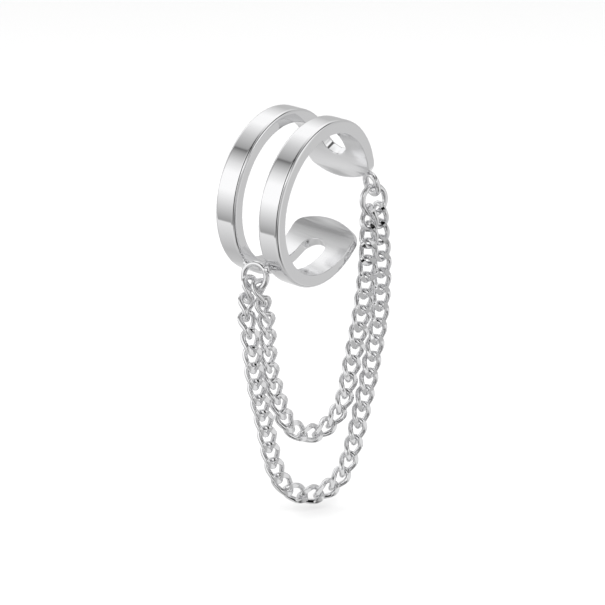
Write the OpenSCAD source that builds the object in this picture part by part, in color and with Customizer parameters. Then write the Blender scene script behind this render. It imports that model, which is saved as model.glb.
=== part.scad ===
// Ear cuff of two joined bands with two hanging curb chains, in millimetres.
// The cuff's bore runs nearly along Y and +Z is up, as the jewel hangs when worn.
// The origin is the middle of the bore, where the rim of the ear passes through.
// The mouth of the cuff opens towards +X.

/* [Cuff] */
// Outer diameter of the cuff
cuff_d = 12; // [11.8:0.1:12.2]
// Thickness of the band
wall = 0.95; // [0.8:0.05:1.1]
// Width of the band from edge to edge
band_w = 5.3; // [5.2:0.1:5.6]
// Width of the long slot that parts the two bands
slot_w = 1.94; // [1.9:0.02:2]
// Rounding of the long edges
edge_r = 0.1; // [0.05:0.01:0.15]
// Opening between the two tips
mouth = 3.7; // [3:0.1:4.2]
// Solid metal between a tip and the round end of the slot
tip_land = 2; // [1.8:0.1:2.4]
// Radius of the blunt end of a tongue
tip_r = 4.5; // [4:0.1:6]
// Radius of the corners of a tongue
corner_r = 1; // [0.8:0.05:1.2]

/* [Rings] */
// Outer diameter of the small loop on the upper tongue
loop_d = 1.94; // [1.9:0.02:2.1]
// Wire of the small loop
loop_wire = 0.44; // [0.4:0.02:0.46]
// Outer diameter of the jump ring that hangs in the small loop
jump_d = 2.42; // [2.36:0.02:2.5]
// Wire of the jump ring
jump_wire = 0.38; // [0.32:0.02:0.38]
// Outer diameter of the ring soldered across the slot
slot_ring_d = 2.2; // [2.16:0.02:2.3]
// Wire of the ring soldered across the slot
slot_ring_wire = 0.38; // [0.32:0.02:0.38]

/* [Chain] */
// Overall width of a link
link_w = 1.4; // [1.36:0.01:1.42]
// Overall length of a link
link_l = 2.07; // [2.05:0.01:2.08]
// Wire of a link
link_wire = 0.31; // [0.28:0.01:0.32]
// How far the sides of a link bow out of its plane
link_bow = 0.28; // [0.27:0.01:0.29]
// Clearance between pieces that hang in each other
play = 0.11; // [0.1:0.01:0.12]

/* [Hidden] */
$fn = 64;

cuff_r = cuff_d / 2;
bore_r = cuff_r - wall;
mid_r = cuff_r - wall / 2;
// The middle of the mouth is turned down from level, and the front end of the bore is lower
mouth_turn = 10.4;
cuff_tilt = 7.1;
tip_angle = asin(mouth / 2 / cuff_r);
slot_tip_angle = tip_angle + arc_angle(tip_land);
slot_end_angle = slot_tip_angle + arc_angle(slot_w / 2);
// Tongue, measured from the tip: where its corner arcs are centred
corner_y = band_w / 2 - corner_r;
corner_x = tip_r - sqrt(pow(tip_r - corner_r, 2) - pow(corner_y, 2));
tip_arc = asin(corner_y / (tip_r - corner_r));
tip_steps = 7;
corner_steps = 6;

// Degrees that an arc of this length spans at the middle of the wall
function arc_angle(length) = length / mid_r * 180 / PI;

// Tilts a point of the level cuff with the jewel
function tilted(p) = [
  p.x, p.y * cos(cuff_tilt) - p.z * sin(cuff_tilt), p.y * sin(cuff_tilt) + p.z * cos(cuff_tilt)
];

// A place on the cuff: radius, angle from the middle of the mouth, distance to the front
function on_cuff(r, angle, front) = tilted([
  r * cos(angle - mouth_turn), -front, r * sin(angle - mouth_turn)
]);

function unit(v) = v / norm(v);

// The way a ring faces, from its azimuth and elevation
function facing(turn) = [cos(turn.y) * cos(turn.x), cos(turn.y) * sin(turn.x), sin(turn.y)];

// The steepest way down in the plane of a ring, and the level way in it
function down_in(turn) = let (n = facing(turn)) unit([0, 0, -1] + n.z * n);
function level_in(turn) = [-sin(turn.x), cos(turn.x), 0];

// The small loop on the upper tongue, soldered at the tongue's front corner
loop_turn = [-25, 15];
loop_r = (loop_d - loop_wire) / 2;
loop_centre = on_cuff(cuff_r - 0.45, 16.6, 2.57);
loop_solder = on_cuff(cuff_r - 0.45, 24, 2.1);

// The jump ring hangs in the small loop, slipped a little to the front
jump_turn = [-109, 3];
jump_r = (jump_d - jump_wire) / 2;
jump_slip = 55;
jump_top = loop_centre + (loop_r - (loop_wire + jump_wire) / 2 - play)
  * (cos(jump_slip) * down_in(loop_turn) - sin(jump_slip) * level_in(loop_turn));
jump_centre = jump_top + jump_r * down_in(jump_turn);

// The ring soldered across the slot, and its two beads of solder
slot_ring_turn = [187, 6];
slot_ring_r = (slot_ring_d - slot_ring_wire) / 2;
slot_ring_angle = -122.5;
slot_ring_centre = on_cuff(cuff_r, slot_ring_angle, -0.12) + 0.7 * down_in(slot_ring_turn);

slot_ring_low = slot_ring_centre + slot_ring_r * down_in(slot_ring_turn);
jump_low = jump_centre + jump_r * down_in(jump_turn);

// The strands hang from the ring across the slot to the jump ring. Each row is a place of
// the route, measured from the straight line between the lowest points of those two rings,
// and how far the links there face to the right of the front.
outer_route = [
  [-0.15, 0.4, -0.02, 78],
  [-1.17, 0.57, -1.56, 63],
  [-2.2, 0.35, -3.15, 46],
  [-2.9, 0.3, -4.45, 36],
  [-3.25, 0.45, -7.2, 30],
  [-3.15, 0.5, -10.75, 28],
  [-3, 0.2, -15.05, 30],
  [-2.35, -0.4, -17.1, 32],
  [-1.05, -1.25, -17.55, 32],
  [0.15, -1.7, -16.2, 28],
  [1.75, -1.5, -11.8, 20],
  [2.05, -1.2, -9.8, 18],
  [2.5, -0.9, -6.75, 15],
  [2.15, -0.65, -3.55, 10],
  [1.35, -0.35, -1.6, -4],
  [0.5, -0.1, -0.15, -15]
];
inner_route = [
  [0.15, -0.35, -0.21, 77],
  [-0.45, -0.25, -1.67, 64],
  [-0.95, 0.05, -3.31, 51],
  [-1.5, 0.23, -7.14, 45],
  [-1.1, -0.1, -11.4, 46],
  [-0.1, -0.55, -12.9, 46],
  [0.25, -0.65, -13.05, 42],
  [1.05, -0.75, -12.05, 35],
  [1.65, -0.5, -9.15, 25],
  [1.55, -0.55, -5.75, 18],
  [1, -0.45, -3.35, 10],
  [0.25, -0.2, -2.65, 0],
  [-0.45, 0.1, -0.2, -25]
];
front_az = -145.1;
outer_links = 33;
inner_links = 25;
// Half length and half width of a link's centre line
link_a = (link_l - link_wire) / 2;
link_b = (link_w - link_wire) / 2;
// Points round a link and round its wire
link_steps = 12;
wire_sides = 6;

function xyz(p) = [p.x, p.y, p.z];

// The route in place
function hung(route) = let (last = len(route) - 1) [
  for (i = [0:last]) let (p = xyz(route[i]) + slot_ring_low + (jump_low - slot_ring_low) * i / last)
    [p.x, p.y, p.z, route[i][3]]
];

// One step of a smooth line through four points in turn
function between(a, b, c, d, u) =
  (2 * b + (c - a) * u + (2 * a - 5 * b + 4 * c - d) * u * u + (3 * (b - c) - a + d) * u * u * u) / 2;

// A smooth line through all points, which leaves both ends straight down
function smooth(p) = let (
  last = len(p) - 1,
  before = [p[0].x, p[0].y, p[0].z + 1.2, 2 * p[0][3] - p[1][3]],
  after = [p[last].x, p[last].y, p[last].z + 1.2, 2 * p[last][3] - p[last - 1][3]],
  q = concat([before], p, [after])
) concat([for (i = [1:last], k = [0:7]) between(q[i - 1], q[i], q[i + 1], q[i + 2], k / 8)], [p[last]]);

// How far along the line each of its points lies
function marks(line) = [
  for (i = 0, s = 0; i < len(line);
    s = s + (i + 1 < len(line) ? norm(xyz(line[i + 1]) - xyz(line[i])) : 0), i = i + 1) s
];

// Evenly spaced places along a line
function spaced(line, count) = let (m = marks(line), gap = m[len(m) - 1] / (count - 1)) [
  for (k = [0:count - 1]) [
    for (j = [0:3]) lookup(k * gap, [for (i = [0:len(line) - 1]) [m[i], line[i][j]]])
  ]
];

// Where a link is, the way along the chain, the way across the link, and the way it faces
function link_frame(p, t, turn) = let (
  face = [cos(front_az + turn), sin(front_az + turn), 0],
  n = unit(face - (face * t) * t)
) [p, t, cross(n, t), n];

// The frames of all links of a strand
function strand_frames(route, count) = let (
  p = spaced(smooth(hung(route)), count),
  up = [0, 0, 1.2]
) [
  for (k = [0:count - 1]) let (
    here = xyz(p[k]),
    before = k == 0 ? here + up : xyz(p[k - 1]),
    after = k == count - 1 ? here + up : xyz(p[k + 1])
  ) link_frame(here, unit(after - before), p[k][3])
];

// A place on a link's centre line, and the way the line runs there
function on_link(f, w) = f[0]
  + link_a * cos(w) * f[1] + link_b * sin(w) * f[2] - link_bow * sin(2 * w) * f[3];
function along_link(f, w) =
  unit(-link_a * sin(w) * f[1] + link_b * cos(w) * f[2] - 2 * link_bow * cos(2 * w) * f[3]);

// One closed link of wire
module link(f) {
  points = [
    for (i = [0:link_steps - 1]) let (
      w = i * 360 / link_steps,
      run = along_link(f, w),
      out = unit(f[3] - (f[3] * run) * run),
      side = cross(run, out)
    ) for (j = [0:wire_sides - 1]) let (v = j * 360 / wire_sides)
      on_link(f, w) + link_wire / 2 * (cos(v) * out + sin(v) * side)
  ];
  function id(i, j) = (i % link_steps) * wire_sides + j % wire_sides;
  faces = [
    for (i = [0:link_steps - 1], j = [0:wire_sides - 1], half = [0, 1])
      half == 0
        ? [id(i, j), id(i + 1, j), id(i + 1, j + 1)]
        : [id(i, j), id(i + 1, j + 1), id(i, j + 1)]
  ];
  polyhedron(points, faces);
}

module strand(route, count) {
  color("gainsboro")
    for (f = strand_frames(route, count)) link(f);
}

// The band's section: a rectangle with rounded corners
function corner(x, y, from) = [
  for (k = [0:4]) [x + edge_r * cos(from + k * 22.5), y + edge_r * sin(from + k * 22.5)]
];

module profile() {
  x = wall / 2 - edge_r;
  y = band_w / 2 - edge_r;
  translate([mid_r, 0])
    polygon(concat(corner(x, y, 0), corner(-x, y, 90), corner(-x, -y, 180), corner(x, -y, 270)));
}

// Half of a tongue's outline, from the middle of the tip to the full width of the band
function half_outline() = concat(
  [for (k = [0:tip_steps]) let (v = k * tip_arc / tip_steps)
    [tip_r * sin(v), tip_r * (1 - cos(v))]],
  [for (k = [1:corner_steps]) let (v = tip_arc + k * (92 - tip_arc) / corner_steps)
    [corner_y + corner_r * sin(v), corner_x - corner_r * cos(v)]]
);

// What the corners of a tongue lose, at both sides of the tip
module tongue_cut() {
  rotate([0, 0, tip_angle]) rotate([0, 90, 0])
    translate([0, 0, bore_r - 2]) linear_extrude(wall + 4)
      for (m = [0, 1]) mirror([m, 0, 0])
        polygon(concat(half_outline(), [[band_w, corner_x + 0.03], [band_w, -2], [0, -2]]));
}

// The long slot, with round ends
module slot() {
  rotate_extrude(angle = 360 - 2 * slot_end_angle, start = slot_end_angle, $fn = 144)
    translate([bore_r - 0.5, -slot_w / 2]) square([wall + 1, slot_w]);
  for (m = [0, 1]) mirror([0, m, 0])
    rotate([0, 0, slot_end_angle]) rotate([0, 90, 0])
      translate([0, 0, bore_r - 1]) cylinder(h = wall + 2, r = slot_w / 2 + 0.002);
}

module band() {
  rotate([90 + cuff_tilt, 0, 0]) rotate([0, 0, -mouth_turn]) difference() {
    rotate_extrude(angle = 366 - 2 * tip_angle, start = tip_angle - 3, $fn = 144) profile();
    slot();
    for (m = [0, 1]) mirror([0, m, 0]) tongue_cut();
  }
}

// A closed ring of round wire
module wire_ring(centre, turn, r, wire) {
  translate(centre) rotate([0, 90 - turn.y, turn.x])
    rotate_extrude($fn = 48) translate([r, 0]) circle(wire / 2, $fn = 24);
}

// A bead of solder
module solder(p, r) {
  translate(p) rotate([25, 35, 0]) sphere(r, $fn = 28);
}

module cuff() {
  color("silver") {
    band();
    wire_ring(loop_centre, loop_turn, loop_r, loop_wire);
    solder(loop_solder, 0.3);
    wire_ring(slot_ring_centre, slot_ring_turn, slot_ring_r, slot_ring_wire);
    for (side = [-1, 1])
      solder(on_cuff(cuff_r - 0.02, slot_ring_angle, side * (slot_w / 2 - 0.04)), 0.28);
  }
}

module jump_ring() {
  color("silver") wire_ring(jump_centre, jump_turn, jump_r, jump_wire);
}

module chain_inner() {
  strand(inner_route, inner_links);
}

module chain_outer() {
  strand(outer_route, outer_links);
}

cuff();
jump_ring();
chain_inner();
chain_outer();
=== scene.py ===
# %% [markdown]
# # A silver ear cuff with two hanging curb chains
#
# The jewel is a broad C of silver that grips the rim of the ear. A long slot parts it into
# two bands, a ring is soldered across that slot, and a small loop on the upper tongue
# carries a jump ring. Two curb chains swing from one ring to the other.
#
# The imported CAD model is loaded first. It is the frame that every piece has to fit. Blender
# works in metres, and the jewel is easier to read in millimetres, so each length says MM.

# %% Load the frame
import math

import bpy
import numpy as np
from mathutils import Matrix, Vector


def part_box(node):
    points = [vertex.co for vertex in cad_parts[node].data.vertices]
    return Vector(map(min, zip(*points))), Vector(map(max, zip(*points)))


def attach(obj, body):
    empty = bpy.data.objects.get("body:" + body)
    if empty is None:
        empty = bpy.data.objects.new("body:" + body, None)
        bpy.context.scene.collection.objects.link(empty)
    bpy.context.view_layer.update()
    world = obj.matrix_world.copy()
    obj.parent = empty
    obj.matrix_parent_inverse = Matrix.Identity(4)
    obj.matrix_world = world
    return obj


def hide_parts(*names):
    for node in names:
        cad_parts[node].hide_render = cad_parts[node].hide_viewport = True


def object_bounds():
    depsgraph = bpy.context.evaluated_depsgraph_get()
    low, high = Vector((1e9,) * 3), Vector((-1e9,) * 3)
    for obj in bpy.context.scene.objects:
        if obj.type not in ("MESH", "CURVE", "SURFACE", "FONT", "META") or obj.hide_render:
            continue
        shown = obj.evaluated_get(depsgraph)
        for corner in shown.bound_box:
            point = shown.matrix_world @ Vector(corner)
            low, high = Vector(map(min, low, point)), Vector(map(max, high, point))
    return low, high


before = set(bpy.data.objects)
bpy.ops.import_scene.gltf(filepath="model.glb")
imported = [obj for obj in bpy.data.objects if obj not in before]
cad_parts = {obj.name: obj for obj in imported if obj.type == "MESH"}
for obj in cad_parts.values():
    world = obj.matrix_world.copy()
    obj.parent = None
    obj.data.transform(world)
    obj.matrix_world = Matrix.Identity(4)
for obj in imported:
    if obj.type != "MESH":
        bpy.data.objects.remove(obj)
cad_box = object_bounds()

MM = 0.001


def in_mm(lengths):
    return [round(v / MM, 2) for v in lengths]


print("CAD nodes:", sorted(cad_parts))

# %% [markdown]
# ## Selecting by hand, in code
#
# An operator acts on everything that is selected. These few helpers put the selection where
# a maker would put it with the mouse, and apply a modifier as soon as it is set.


# %% Selection and modifiers
def deselect():
    if bpy.context.object and bpy.context.object.mode != "OBJECT":
        bpy.ops.object.mode_set(mode="OBJECT")
    bpy.ops.object.select_all(action="DESELECT")


def pick(piece):
    deselect()
    piece.select_set(True)
    bpy.context.view_layer.objects.active = piece
    return piece


def named(name):
    piece = bpy.context.object
    piece.name = name
    piece.data.name = name
    return piece


def with_modifier(piece, kind, **settings):
    pick(piece)
    modifier = piece.modifiers.new(kind.lower(), kind)
    for key, value in settings.items():
        setattr(modifier, key, value)
    bpy.ops.object.modifier_apply(modifier=modifier.name)
    return piece


def joined(name, *pieces):
    pick(pieces[0])
    for piece in pieces[1:]:
        piece.select_set(True)
    bpy.ops.object.join()
    return named(name)


# %% [markdown]
# ## Where things are on the cuff
#
# A place on the cuff is told as a maker would tell it: how far from the middle of the bore,
# at what angle from the middle of the mouth, and how far to the front. The jewel hangs a
# little turned, so its mouth looks slightly down and its front dips.

# %% Places on the cuff
CUFF_R = 6.0 * MM  # the outside
WALL = 0.95 * MM
BAND_W = 5.3 * MM  # both bands and the slot
SLOT_W = 1.94 * MM
MOUTH = 3.7 * MM  # from tip to tip
TIP_LAND = 2.0 * MM  # metal between the slot's end and the tip
TIP_R = 4.5 * MM  # the shallow arc of a tip
CORNER_R = 1.0 * MM
MID_R = CUFF_R - WALL / 2
MOUTH_TURN = math.radians(10.4)
TILT = Matrix.Rotation(math.radians(7.1), 3, "X")


def on_cuff(r, angle, front):
    a = math.radians(angle) - MOUTH_TURN
    return TILT @ Vector((r * math.cos(a), -front, r * math.sin(a)))


def facing(azimuth, elevation):
    a, e = math.radians(azimuth), math.radians(elevation)
    return Vector((math.cos(e) * math.cos(a), math.cos(e) * math.sin(a), math.sin(e)))


def down_in(face):
    return (Vector((0, 0, -1)) + face.z * face).normalized()


lowest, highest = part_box("cuff")
print("cuff box, mm:", in_mm((*lowest, *highest)))

# %% [markdown]
# ## The band, flat
#
# The real band is cut from sheet silver, pierced and then bent round a mandrel. It could be
# spun in one go from its section, but the slot and the tongues would then have to be cut
# out of a curved wall. Following the real way is easier: a quarter of the flat blank is
# drawn as a line, with each arc spun about its own centre, and filled as one face.

# %% A quarter of the blank
TIP_STEPS = 14
SLOT_END_STEPS = 20
LENGTH = MID_R * (2 * math.pi - 2 * math.asin(MOUTH / 2 / CUFF_R))
corner_z = BAND_W / 2 - CORNER_R
corner_x = TIP_R - math.sqrt((TIP_R - CORNER_R) ** 2 - corner_z**2)
tip_arc = math.asin(corner_z / (TIP_R - CORNER_R))
tip = -LENGTH / 2
slot_end = tip + TIP_LAND + SLOT_W / 2

bpy.ops.mesh.primitive_plane_add(size=MM, location=(0, 0, 0))
blank = named("blank")
bpy.ops.object.mode_set(mode="EDIT")
bpy.ops.mesh.select_all(action="SELECT")
bpy.ops.mesh.merge(type="CENTER")
bpy.ops.transform.translate(value=(tip, 0, 0))


def draw_arc(centre, angle, steps):
    bpy.ops.mesh.spin(steps=steps, angle=angle, center=centre, axis=(0, -1, 0))


def draw_line(step):
    bpy.ops.mesh.extrude_region_move(TRANSFORM_OT_translate={"value": step})


draw_arc((tip + TIP_R, 0, 0), tip_arc, TIP_STEPS)
draw_arc((tip + corner_x, 0, corner_z), math.pi / 2 - tip_arc, TIP_STEPS)
draw_line((-tip - corner_x, 0, 0))
draw_line((0, 0, -(BAND_W - SLOT_W) / 2))
draw_line((slot_end, 0, 0))
draw_arc((slot_end, 0, 0), -math.pi / 2, SLOT_END_STEPS)
bpy.ops.mesh.select_all(action="SELECT")
bpy.ops.mesh.edge_face_add()
bpy.ops.object.mode_set(mode="OBJECT")
print("blank quarter:", len(blank.data.vertices), "points,", len(blank.data.polygons), "face")
print("from", in_mm(blank.bound_box[0]), "to", in_mm(blank.bound_box[6]), "mm")

# %% [markdown]
# ## The band, thick and rounded
#
# Two mirrors complete the blank and Solidify gives the sheet its thickness. The rims are
# rounded while the blank is still flat, as a file does it, because a bevel then runs round
# the slot and the tongues without a break. The outer rims are rounded most, since they are
# what the eye sees and the finger feels, and the bore rims are only broken.

# %% Thickness and rims
RIM = 0.28 * MM
BORE_RIM_SHARE = 0.25  # of that, at the bore
SHARP = math.radians(40)

with_modifier(blank, "MIRROR", use_axis=(True, False, True), merge_threshold=1e-6)
with_modifier(blank, "SOLIDIFY", thickness=WALL, offset=0)
pick(blank)
bpy.ops.object.mode_set(mode="EDIT")
bpy.ops.mesh.select_mode(type="EDGE")
bpy.ops.mesh.select_all(action="DESELECT")
bpy.ops.mesh.edges_select_sharp(sharpness=SHARP)
bpy.ops.object.mode_set(mode="OBJECT")
weights = blank.data.attributes.new("bevel_weight_edge", "FLOAT", "EDGE")
for edge in blank.data.edges:
    if edge.select:
        bore_side = blank.data.vertices[edge.vertices[0]].co.y > 0
        weights.data[edge.index].value = BORE_RIM_SHARE if bore_side else 1
with_modifier(blank, "BEVEL", width=RIM, segments=7, limit_method="WEIGHT")
print("flat blank, mm:", in_mm(blank.dimensions))

# %% [markdown]
# ## The band, bent round
#
# A flat face can only bend where it has edges, so the blank is first sliced across every
# 3 degrees of the coming circle. Simple Deform then bends it as the mandrel does. Mirror
# polish shows each uneven normal, so the large faces set the normals of their borders.

# %% Slices, bend and place
SLICES = 108

pick(blank)
bpy.ops.object.mode_set(mode="EDIT")
for k in range(1, SLICES):
    bpy.ops.mesh.select_all(action="SELECT")
    bpy.ops.mesh.bisect(
        plane_co=(tip + k * LENGTH / SLICES, 0, 0), plane_no=(1, 0, 0), threshold=1e-7
    )
bpy.ops.object.mode_set(mode="OBJECT")
with_modifier(
    blank, "SIMPLE_DEFORM", deform_method="BEND", deform_axis="Z", angle=LENGTH / MID_R
)


def set_in_place(piece, x, y, z, centre):
    """Turns the piece's own axes to x, y and z, moves its origin to centre and applies it."""
    pick(piece)
    piece.matrix_world = Matrix.Translation(centre) @ Matrix((x, y, z)).transposed().to_4x4()
    bpy.ops.object.transform_apply(location=True, rotation=True, scale=True)
    return piece


mouth_way = on_cuff(1, 0, 0)
bore_way = TILT @ Vector((0, 1, 0))
set_in_place(blank, mouth_way.cross(bore_way), mouth_way, bore_way, -MID_R * mouth_way)
bpy.ops.object.mode_set(mode="EDIT")
bpy.ops.mesh.select_all(action="SELECT")
bpy.ops.mesh.normals_make_consistent(inside=False)
bpy.ops.object.mode_set(mode="OBJECT")
bpy.ops.object.shade_smooth()
with_modifier(blank, "WEIGHTED_NORMAL", mode="FACE_AREA", weight=100)
print("band:", len(blank.data.polygons), "faces, mm", in_mm(blank.dimensions))

# %% [markdown]
# ## Rings of round wire
#
# The ring across the slot and the small loop are bent from wire and soldered. A torus is
# that shape already, but silver solder always leaves a small hollow fillet where two parts
# meet. Beads are laid into the joint, and a voxel remesh and a little smoothing melt wire
# and beads together. The remesh can't work below a tenth of a millimetre, so the piece is
# a thousand times larger while it is melted.

# %% Wire, beads and melting
VOXEL = 0.025 * MM
ENLARGED = 1000


def wire_ring(name, centre, turned_to, r, wire):
    azimuth, elevation = turned_to
    bpy.ops.mesh.primitive_torus_add(
        major_radius=r, minor_radius=wire / 2, major_segments=72, minor_segments=20,
        location=centre, rotation=(0, math.radians(90 - elevation), math.radians(azimuth)),
    )
    bpy.ops.object.transform_apply(location=True, rotation=True, scale=True)
    return named(name)


def bead(centre, r):
    bpy.ops.mesh.primitive_ico_sphere_add(subdivisions=4, radius=r, location=centre)
    bpy.ops.object.transform_apply(location=True, rotation=True, scale=True)
    return named("bead")


def melted(name, *pieces):
    piece = joined(name, *pieces)
    for grow in (ENLARGED, 1 / ENLARGED):
        pick(piece)
        piece.scale = (grow, grow, grow)
        bpy.ops.object.transform_apply(location=True, rotation=True, scale=True)
        if grow > 1:
            with_modifier(piece, "REMESH", mode="VOXEL", voxel_size=VOXEL / MM)
            with_modifier(piece, "SMOOTH", factor=0.5, iterations=8)
    bpy.ops.object.shade_smooth()
    print(name, len(piece.data.polygons), "faces, mm", in_mm(piece.dimensions))
    return piece


# %% The ring across the slot
SLOT_RING_AT = -122.5  # degrees from the middle of the mouth
SLOT_RING_FRONT = -0.12 * MM
SLOT_RING_TURN = (187, 6)  # azimuth and elevation that the ring faces
SLOT_RING_R, SLOT_RING_WIRE = 0.9 * MM, 0.43 * MM
SLOT_RING_HANG = 0.7 * MM  # from the outside of the cuff down to the ring's middle
SLOT_BEAD_R = 0.27 * MM
BEAD_SUNK, BEAD_INSET = 0.02 * MM, 0.04 * MM

hang = SLOT_RING_HANG * down_in(facing(*SLOT_RING_TURN))
slot_centre = on_cuff(CUFF_R, SLOT_RING_AT, SLOT_RING_FRONT) + hang
slot_wire = wire_ring("ring", slot_centre, SLOT_RING_TURN, SLOT_RING_R, SLOT_RING_WIRE)
slot_beads = []
for side in (-1, 1):
    rim = side * (SLOT_W / 2 - BEAD_INSET)
    slot_beads.append(bead(on_cuff(CUFF_R - BEAD_SUNK, SLOT_RING_AT, rim), SLOT_BEAD_R))
slot_ring = melted("slot_ring", slot_wire, *slot_beads)

# %% The small loop
LOOP_AT = 16.6
LOOP_DEPTH, LOOP_FRONT = 0.45 * MM, 2.57 * MM
LOOP_TURN = (-25, 15)
LOOP_R, LOOP_WIRE = 0.75 * MM, 0.46 * MM
LOOP_BEAD_AT, LOOP_BEAD_FRONT, LOOP_BEAD_R = 24, 2.1 * MM, 0.29 * MM

loop_centre = on_cuff(CUFF_R - LOOP_DEPTH, LOOP_AT, LOOP_FRONT)
loop_wire = wire_ring("ring", loop_centre, LOOP_TURN, LOOP_R, LOOP_WIRE)
loop_bead = bead(on_cuff(CUFF_R - LOOP_DEPTH, LOOP_BEAD_AT, LOOP_BEAD_FRONT), LOOP_BEAD_R)
small_loop = melted("small_loop", loop_wire, loop_bead)

# %% [markdown]
# ## The jump ring
#
# A jump ring is a turn of wire whose two ends are pressed together and not soldered. A disc
# is spun almost all the way round, and what is left open is the hair-thin seam. Its ends
# are capped and their rims broken with a tiny bevel, so that the seam catches light.

# %% Where the jump ring hangs
# It has slipped up the side of the small loop. It hangs as the CAD jump ring does, whose
# wire is thinner, so the place is worked out with the wires of the CAD model.
JUMP_R, JUMP_WIRE = 1.02 * MM, 0.43 * MM
JUMP_TURN = (-109, 3)
SLIP = math.radians(55)
CAD_LOOP_WIRE, CAD_JUMP_WIRE, CAD_AIR = 0.44 * MM, 0.38 * MM, 0.11 * MM

loop_face, jump_face = facing(*LOOP_TURN), facing(*JUMP_TURN)
loop_azimuth = math.radians(LOOP_TURN[0])
level = Vector((-math.sin(loop_azimuth), math.cos(loop_azimuth), 0))
reach = LOOP_R - (CAD_LOOP_WIRE + CAD_JUMP_WIRE) / 2 - CAD_AIR
jump_top = loop_centre + reach * (math.cos(SLIP) * down_in(loop_face) - math.sin(SLIP) * level)
jump_centre = jump_top + JUMP_R * down_in(jump_face)
print("middle of the jump ring, mm:", in_mm(jump_centre))

# %% A turn of wire with its seam
SEAM = math.radians(1)
SEAM_LEAN = 1.5
SEAM_BREAK = 0.02 * MM

bpy.ops.mesh.primitive_circle_add(
    vertices=24, radius=JUMP_WIRE / 2, fill_type="NGON", location=(JUMP_R, 0, 0),
    rotation=(math.pi / 2, 0, 0),
)
bpy.ops.object.transform_apply(location=True, rotation=True, scale=True)
jump = named("jump_ring_wire")
bpy.ops.object.mode_set(mode="EDIT")
bpy.ops.mesh.select_all(action="SELECT")
bpy.ops.mesh.spin(steps=72, angle=2 * math.pi - SEAM, center=(0, 0, 0), axis=(0, 0, 1))
bpy.ops.mesh.select_all(action="DESELECT")
bpy.ops.mesh.select_non_manifold()
bpy.ops.mesh.edge_face_add()
bpy.ops.mesh.select_all(action="SELECT")
bpy.ops.mesh.normals_make_consistent(inside=False)
bpy.ops.object.mode_set(mode="OBJECT")
with_modifier(jump, "BEVEL", width=SEAM_BREAK, segments=2, angle_limit=math.radians(60))
bpy.ops.object.shade_smooth()
with_modifier(jump, "WEIGHTED_NORMAL", mode="FACE_AREA", weight=60)
jump_low = down_in(jump_face)
seam_way = (jump_low + SEAM_LEAN * jump_face.cross(jump_low)).normalized()
set_in_place(jump, seam_way, jump_face.cross(seam_way), jump_face, jump_centre)
print("jump ring:", len(jump.data.polygons), "faces, mm", in_mm(jump.dimensions))

# %% [markdown]
# ## One link of curb chain
#
# A curb link is an oval of wire that has been twisted until it lies flat against its
# neighbours. A torus could be squashed and twisted, but that thins the wire in places. Here
# the centre line is a Bezier circle of four points, pulled to an oval, and the handles of
# each point are lifted on one side and lowered on the other: that is the twist. The curve's
# own round bevel is the wire. The finished chain is ground flat, so what stands out on both
# faces of the link is sliced off.

# %% The centre line and the wire
LINK_A, LINK_B = 0.87 * MM, 0.52 * MM  # half the length and width of the centre line
LINK_BOW = 0.28 * MM
LINK_WIRE = 0.39 * MM
ARM = 0.5523  # handle of a quarter circle of radius 1

bpy.ops.curve.primitive_bezier_circle_add(radius=MM, location=(0, 0, 0))
link = named("link")
link.data.dimensions = "3D"
# Each point's place on a circle of radius 1, and the way the line runs there.
spots = [((-1, 0), (0, 1)), ((0, 1), (1, 0)), ((1, 0), (0, -1)), ((0, -1), (-1, 0))]
for point, (at, way) in zip(link.data.splines[0].bezier_points, spots):
    point.handle_left_type = point.handle_right_type = "FREE"
    place = Vector((at[0] * LINK_A, at[1] * LINK_B, 0))
    arm = Vector((way[0] * LINK_A, way[1] * LINK_B, 0)) * ARM
    lift = Vector((0, 0, LINK_BOW * 4 / 3)) * (1 if at[0] else -1)
    point.co = place
    point.handle_right = place + arm + lift
    point.handle_left = place - arm - lift
link.data.resolution_u = 7
link.data.bevel_depth = LINK_WIRE / 2
link.data.bevel_resolution = 4
print("centre line, mm:", in_mm((2 * LINK_A, 2 * LINK_B, 2 * LINK_BOW)))

# %% Mesh and flats
GROUND = 0.38 * MM

pick(link)
bpy.ops.object.convert(target="MESH")
link = named("link")
bpy.ops.object.mode_set(mode="EDIT")
for side in (1, -1):
    bpy.ops.mesh.select_all(action="SELECT")
    bpy.ops.mesh.bisect(
        plane_co=(0, 0, side * GROUND), plane_no=(0, 0, side), threshold=1e-7,
        use_fill=True, clear_outer=True,
    )
bpy.ops.object.mode_set(mode="OBJECT")
bpy.ops.object.shade_smooth_by_angle(angle=math.radians(35))
print("link:", len(link.data.polygons), "faces, mm", in_mm(link.dimensions))

# %% [markdown]
# ## The two strands
#
# Each visible link goes exactly where the CAD strand has one. A copy of the strand is
# separated into its loose links. A link's middle is the mean of its points, and the
# directions in which its points spread most, less and least are its length, width and
# depth. The turned copies of the modelled link are then joined to one strand.


# %% Laying the links
def laid(name, node):
    pick(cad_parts[node])
    bpy.ops.object.duplicate()
    bpy.ops.object.mode_set(mode="EDIT")
    bpy.ops.mesh.select_all(action="SELECT")
    bpy.ops.mesh.remove_doubles(threshold=1e-7)
    bpy.ops.mesh.separate(type="LOOSE")
    bpy.ops.object.mode_set(mode="OBJECT")
    parts = list(bpy.context.selected_objects)
    copies = []
    for part in parts:
        points = np.array([v.co for v in part.data.vertices])
        middle = points.mean(0)
        spread = np.linalg.eigh(np.cov((points - middle).T))[1]
        along, across = Vector(spread[:, 2]), Vector(spread[:, 1])
        copy = bpy.data.objects.new("copy", link.data.copy())
        bpy.context.scene.collection.objects.link(copy)
        copies.append(set_in_place(copy, along, across, along.cross(across), Vector(middle)))
    for part in parts:
        bpy.data.objects.remove(part)
    strand = joined(name, *copies)
    print(name, len(copies), "links,", len(strand.data.polygons), "faces")
    return strand


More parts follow.
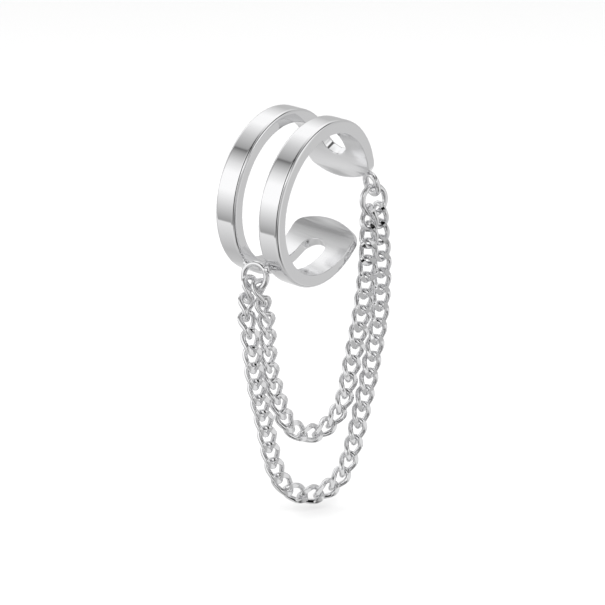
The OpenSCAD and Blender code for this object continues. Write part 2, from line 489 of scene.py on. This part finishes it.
strand_inner = laid("strand_inner", "chain_inner")
strand_outer = laid("strand_outer", "chain_outer")
bpy.data.objects.remove(link)

# %% [markdown]
# ## Colours and nodes
#
# Hex colours are written as the eye sees them, and the shader wants them linear. One small
# function adds any node with its settings and its links.

# %% Colour and node helpers
MATH = "ShaderNodeMath"
NOISE = "ShaderNodeTexNoise"
BUMP = "ShaderNodeBump"


def linear(hex_colour):
    def one(v):
        return v / 12.92 if v <= 0.04045 else ((v + 0.055) / 1.055) ** 2.4

    return (*[one(int(hex_colour[i : i + 2], 16) / 255) for i in (1, 3, 5)], 1)


def add_node(tree, kind, sockets=None, **settings):
    node = tree.nodes.new(kind)
    for key, value in settings.items():
        setattr(node, key, value)
    for socket, value in (sockets or {}).items():
        if isinstance(value, bpy.types.NodeSocket):
            tree.links.new(value, node.inputs[socket])
        else:
            node.inputs[socket].default_value = value
    return node


print("white is", linear("#ffffff"))

# %% [markdown]
# ## Silver
#
# The jewel is sterling silver with a bright finish. The band is buffed to a mirror on a
# wheel, which leaves a breath of haze and presses each band a hair hollow across, so that
# reflections lean a little. The wheel hardly reaches the bore, so what it mirrors there is
# soft. The chain is tumbled with steel shot, so its wire is minutely dimpled. Solder joints
# and rings are between the two. The real marks of wheel and shot are too fine to show, so
# they are drawn 0.16 to 0.5 mm wide.

# %% Four finishes of silver
HAZE_PATCH = 1.6 * MM
BAND_MIDDLE = (BAND_W + SLOT_W) / 4


def silver(name, colour, roughness, haze, grain_mm, dimple_mm, dish_mm=0):
    material = bpy.data.materials.new(name)
    material.use_nodes = True
    tree = material.node_tree
    shader = tree.nodes["Principled BSDF"]
    shader.inputs["Base Color"].default_value = linear(colour)
    shader.inputs["Metallic"].default_value = 1
    place = add_node(tree, "ShaderNodeTexCoord").outputs["Object"]
    cloud = add_node(tree, NOISE, {"Vector": place, "Scale": 1 / HAZE_PATCH, "Detail": 3})
    veil = add_node(
        tree, "ShaderNodeMapRange",
        {"Value": cloud.outputs["Fac"], "From Min": 0.3, "From Max": 0.7,
         "To Min": roughness, "To Max": roughness + haze},
    )
    tree.links.new(veil.outputs["Result"], shader.inputs["Roughness"])
    grain = add_node(tree, NOISE, {"Vector": place, "Scale": 1 / (grain_mm * MM), "Detail": 2})
    bump = add_node(
        tree, BUMP, {"Height": grain.outputs["Fac"], "Strength": 1, "Distance": dimple_mm * MM}
    )
    if dish_mm:
        axial = add_node(
            tree, "ShaderNodeVectorMath", {0: place, 1: bore_way / MM}, operation="DOT_PRODUCT"
        )
        side = add_node(tree, MATH, {0: axial.outputs["Value"]}, operation="ABSOLUTE")
        off = add_node(tree, MATH, {0: side.outputs[0], 1: BAND_MIDDLE / MM}, operation="SUBTRACT")
        hollow = add_node(tree, MATH, {0: off.outputs[0], 1: 2}, operation="POWER")
        bump = add_node(
            tree, BUMP,
            {"Height": hollow.outputs[0], "Strength": 1, "Distance": dish_mm * MM,
             "Normal": bump.outputs["Normal"]},
        )
    tree.links.new(bump.outputs["Normal"], shader.inputs["Normal"])
    return material


buffed = silver("buffed_silver", "#f1f1f2", 0.04, 0.03, 0.5, 0.0003, 0.06)
satin = silver("satin_silver_bore", "#efeff0", 0.17, 0.02, 0.5, 0.0002)
soldered = silver("soldered_silver", "#efeff0", 0.05, 0.04, 0.2, 0.0006)
tumbled = silver("tumbled_silver", "#f0f0f1", 0.06, 0.04, 0.16, 0.0006)


# %% Finishing the pieces
BORE_FACE = -0.9  # cosine between the normal of a bore face and the way out


def coat(piece, *metals):
    piece.data.materials.clear()
    for metal in metals:
        piece.data.materials.append(metal)
    print(piece.name, "is", [metal.name for metal in metals])


def finish_with(piece, metal, node):
    coat(piece, metal)
    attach(piece, "root")
    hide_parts(node)


coat(blank, buffed, satin)
coat(slot_ring, soldered)
coat(small_loop, soldered)
for face in blank.data.polygons:
    out = face.center - face.center.dot(bore_way) * bore_way
    if face.normal.dot(out.normalized()) < BORE_FACE:
        face.material_index = 1
cuff = joined("cuff_body", blank, slot_ring, small_loop)
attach(cuff, "root")
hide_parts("cuff")
finish_with(jump, soldered, "jump_ring")
finish_with(strand_inner, tumbled, "chain_inner")
finish_with(strand_outer, tumbled, "chain_outer")

# %% [markdown]
# ## The table and the studio
#
# Polished silver has hardly any colour of its own: what is seen is the studio round it. The
# jewel hangs just over a white board, which the world lights evenly. The metal mirrors a
# ring of soft boxes and grey cards, told by the angle round the cuff's bore, and a few
# smaller cards in front of that ring. The tall dark one draws the line along the rims. The
# board isn't in these mirror images, since the lower cards of the ring stand for it.

# %% Table
TABLE_R = 1.5
TABLE_GAP = 0.4 * MM

table_z = cad_box[0].z - TABLE_GAP
bpy.ops.mesh.primitive_circle_add(
    vertices=96, radius=TABLE_R, fill_type="NGON", location=(0, 0, table_z)
)
table = named("table")
bpy.ops.object.transform_apply(location=True, rotation=True, scale=True)
board = bpy.data.materials.new("satin_white_board")
board.use_nodes = True
board_shader = board.node_tree.nodes["Principled BSDF"]
board_shader.inputs["Base Color"].default_value = linear("#e8e8e8")
board_shader.inputs["Roughness"].default_value = 0.2
board_shader.inputs["Specular IOR Level"].default_value = 0.25
table.data.materials.append(board)
table.visible_glossy = False
print("table at, mm:", in_mm((0, 0, table_z)))

# %% The ring of cards
# Each card's place in degrees, from +X over the top, and its grey. The greys run into
# each other from card to card.
CARDS = [
    (0, "#bababa"), (26, "#bcbcbc"), (42, "#e0e0e0"), (58, "#fdfdfd"), (76, "#fdfdfd"),
    (98, "#cccccc"), (111, "#b0b0b0"), (117, "#a0a0a0"), (119.5, "#6c6c6c"), (123, "#989898"),
    (138, "#e0e0e0"), (151, "#ffffff"), (175, "#ffffff"), (198, "#cfcfcf"), (219, "#989898"),
    (220.5, "#e4e4e4"), (246, "#cdcdcd"), (272, "#b8b8b8"), (298, "#c1c1c1"), (332, "#dedede"),
    (350, "#c0c0c0"),
]

world = bpy.data.worlds.new("studio")
bpy.context.scene.world = world
world.use_nodes = True
tree = world.node_tree
tree.nodes.clear()
way = add_node(tree, "ShaderNodeTexCoord").outputs["Generated"]
split = add_node(tree, "ShaderNodeSeparateXYZ", {0: way})
angle = add_node(tree, MATH, {0: split.outputs["Z"], 1: split.outputs["X"]}, operation="ARCTAN2")
turns = add_node(tree, MATH, {0: angle.outputs[0], 1: 1 / (2 * math.pi)}, operation="MULTIPLY")
turns = add_node(tree, MATH, {0: turns.outputs[0], 1: 1.0}, operation="ADD")
share = add_node(tree, MATH, {0: turns.outputs[0]}, operation="FRACT")
ramp = add_node(tree, "ShaderNodeValToRGB", {"Fac": share.outputs[0]})
stops = ramp.color_ramp.elements
while len(stops) > 1:
    stops.remove(stops[0])
stops[0].position = CARDS[0][0] / 360
stops[0].color = linear(CARDS[0][1])
for degrees, colour in CARDS[1:]:
    stops.new(degrees / 360).color = linear(colour)
print(len(CARDS), "cards in the ring")

# %% Cards in front of the ring
# Azimuth and elevation of the middle, half width and half height, all in degrees, then how
# soft the border is and the grey.
PANELS = [
    (-30, -14, 24, 24, 0.3, "#c6c6c6"),
    (-116, -14, 26, 26, 0.2, "#b4b4b4"),
    (-72, -14, 18, 26, 0.2, "#dedede"),
    (-62, 50, 34, 10, 0.4, "#585858"),
    (-112, -48, 14, 22, 0.4, "#585858"),
    (-160, 15, 10, 62, 0.12, "#101010"),
]


def panel(tree, direction, half_wide, half_high, blur, colour, behind):
    """A card in front of what is behind, seen square on where the direction is +X."""
    part = add_node(tree, "ShaderNodeSeparateXYZ", {0: direction})
    reaches = []
    for axis, half in (("Y", half_wide), ("Z", half_high)):
        size = add_node(tree, MATH, {0: part.outputs[axis]}, operation="ABSOLUTE")
        half_sine = math.sin(math.radians(half))
        size = add_node(tree, MATH, {0: size.outputs[0], 1: half_sine}, operation="DIVIDE")
        reaches.append(size.outputs[0])
    far = add_node(tree, MATH, {0: reaches[0], 1: reaches[1]}, operation="MAXIMUM")
    on = add_node(
        tree, "ShaderNodeMapRange",
        {"Value": far.outputs[0], "From Min": 1 + blur, "From Max": 1 - blur},
        interpolation_type="SMOOTHSTEP",
    )
    near = add_node(tree, MATH, {0: part.outputs["X"], 1: 0}, operation="GREATER_THAN")
    here = add_node(tree, MATH, {0: on.outputs[0], 1: near.outputs[0]}, operation="MULTIPLY")
    mix = add_node(
        tree, "ShaderNodeMix", {"Factor": here.outputs[0], 6: behind, 7: linear(colour)},
        data_type="RGBA",
    )
    return mix.outputs[2]


seen = ramp.outputs["Color"]
for azimuth, elevation, half_wide, half_high, blur, colour in PANELS:
    turned = add_node(
        tree, "ShaderNodeVectorRotate",
        {"Vector": way, "Rotation": (0, -math.radians(elevation), math.radians(azimuth))},
        rotation_type="EULER_XYZ", invert=True,
    )
    seen = panel(tree, turned.outputs[0], half_wide, half_high, blur, colour, seen)
print(len(PANELS), "cards in front")

# %% Mirrored light and even light
MIRRORED = 1.1
EVEN = 1.62

mirrored = add_node(tree, "ShaderNodeBackground", {"Color": seen, "Strength": MIRRORED})
even = add_node(tree, "ShaderNodeBackground", {"Color": (1, 1, 1, 1), "Strength": EVEN})
ray = add_node(tree, "ShaderNodeLightPath")
light = add_node(
    tree, "ShaderNodeMixShader",
    {0: ray.outputs["Is Glossy Ray"], 1: even.outputs[0], 2: mirrored.outputs[0]},
)
add_node(tree, "ShaderNodeOutputWorld", {"Surface": light.outputs[0]})
print("studio has", len(tree.nodes), "nodes")

# %% [markdown]
# ## The camera
#
# The jewel is seen from its closed left side, a little from the front and from 15 degrees
# above, through a long lens, so that the near band is hardly larger than the far one.

# %% Camera
CAMERA_AT = (-0.10042, -0.07045, 0.02515)
LENS_MM, SENSOR_MM = 106.3, 36

across = Vector((0.5719, -0.8203, 0)).normalized()  # to the right in the picture
back = Vector((-0.7924, -0.5524, 0.2588)).normalized()  # from the jewel to the camera
up = back.cross(across)
bpy.ops.object.camera_add(location=CAMERA_AT)
camera = named("camera")
camera.rotation_euler = Matrix((across, up, back)).transposed().to_euler()
camera.data.sensor_width = SENSOR_MM
camera.data.lens = LENS_MM
camera.data.clip_start, camera.data.clip_end = 0.001, 20
bpy.context.scene.camera = camera
bpy.context.scene.view_settings.view_transform = "Standard"
print("camera looks along", [round(v, 3) for v in -back])

# %% [markdown]
# ## The CAD box
#
# The box of the CAD model is printed in millimetres. The dressed jewel has to stay in
# the box of the CAD model.

# %% Sizes and finish
print("CAD box, mm:", [in_mm(c) for c in cad_box])
